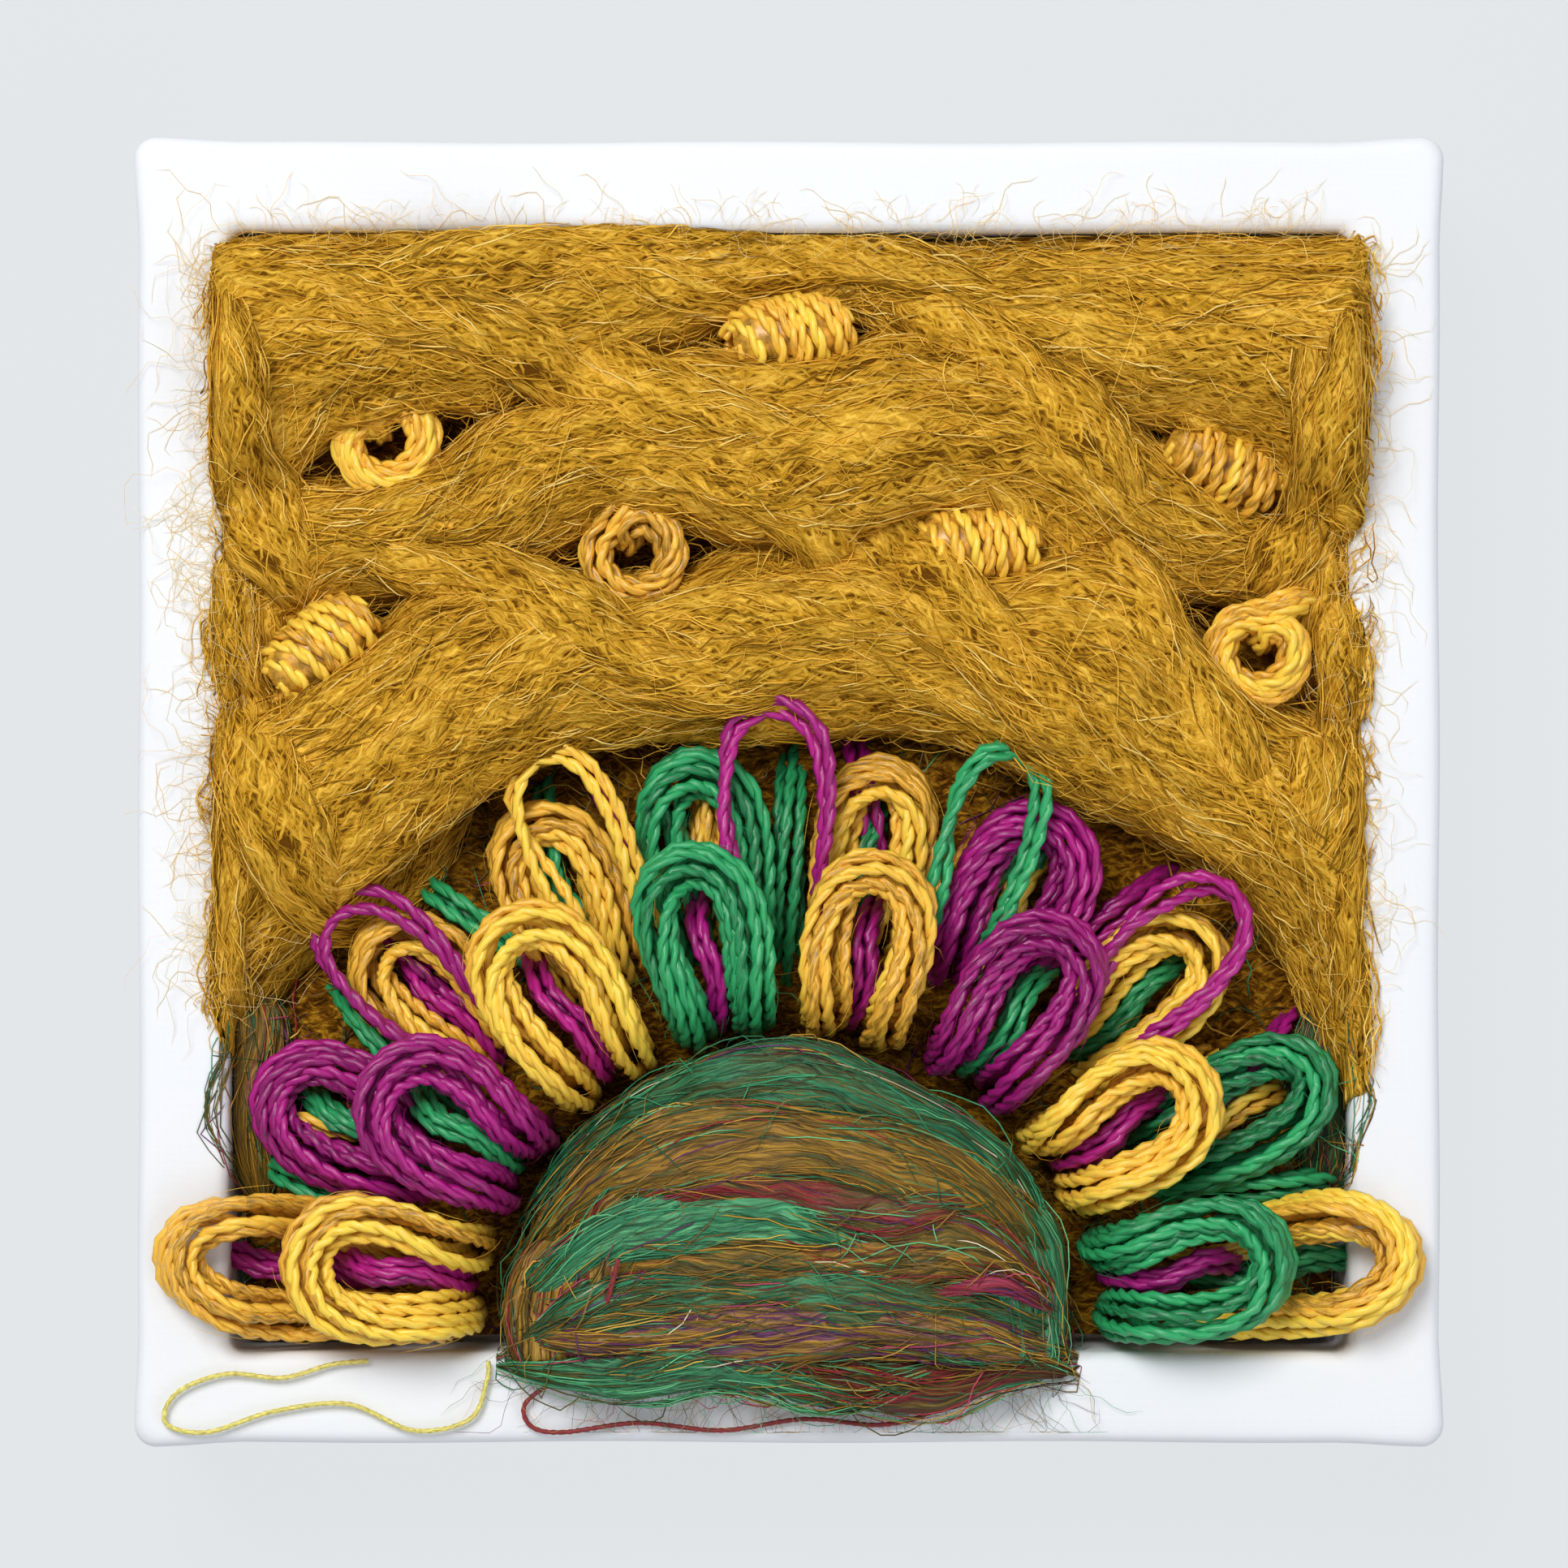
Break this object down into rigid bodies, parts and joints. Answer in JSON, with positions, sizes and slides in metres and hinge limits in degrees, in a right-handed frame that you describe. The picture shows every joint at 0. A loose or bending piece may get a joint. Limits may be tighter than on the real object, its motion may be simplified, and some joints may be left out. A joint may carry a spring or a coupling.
{
  "type": "framed needle felt picture",
  "caption": "Small square canvas-wrapped frame filled with thick wool ropes, mixed fibre and looped floss petals, lying on its back.",
  "frame": {"origin": "middle of the frame's back, on the surface it lies on", "axes": "+Z out of the picture's face, +Y towards the picture's top edge, +X to its right"},
  "size_m": [0.07, 0.07, 0.0197],
  "materials": {
    "canvas": "white primed canvas, matte, fine plain weave",
    "wool": "mustard wool roving, soft crimped fibres, matte",
    "mixed_fibre": "combed silk, viscose and wool in green and brown, soft sheen",
    "gold_floss": "six-strand cotton floss, satin",
    "green_floss": "six-strand cotton floss, satin",
    "magenta_floss": "six-strand cotton floss, satin",
    "red_thread": "fine sewing thread",
    "yellow_thread": "fine sewing thread"
  },
  "bodies": {
    "root": {"canvas_frame": "canvas", "back_panel": "canvas", "under_wool": "wool", "wool_rope_1": "wool", "wool_rope_2": "wool", "wool_rope_3": "wool", "mixed_lock_1": "mixed_fibre", "mixed_lock_2": "mixed_fibre", "mixed_heart": "mixed_fibre", "petal_low_01": "gold_floss", "petal_low_02": "green_floss", "petal_low_03": "gold_floss", "petal_low_04": "magenta_floss", "petal_low_05": "gold_floss", "petal_low_06": "green_floss", "petal_low_07": "gold_floss", "petal_low_08": "gold_floss", "petal_low_09": "magenta_floss", "petal_low_10": "gold_floss", "petal_high_01": "green_floss", "petal_high_02": "gold_floss", "petal_high_03": "magenta_floss", "petal_high_04": "gold_floss", "petal_high_05": "green_floss", "petal_high_06": "gold_floss", "petal_high_07": "magenta_floss", "petal_high_08": "gold_floss", "knot_1": "gold_floss", "knot_2": "gold_floss", "knot_3": "gold_floss", "knot_4": "gold_floss", "knot_5": "gold_floss", "knot_6": "gold_floss", "knot_7": "gold_floss", "red_thread": "red_thread", "yellow_thread": "yellow_thread"}
  },
  "joints": []
}
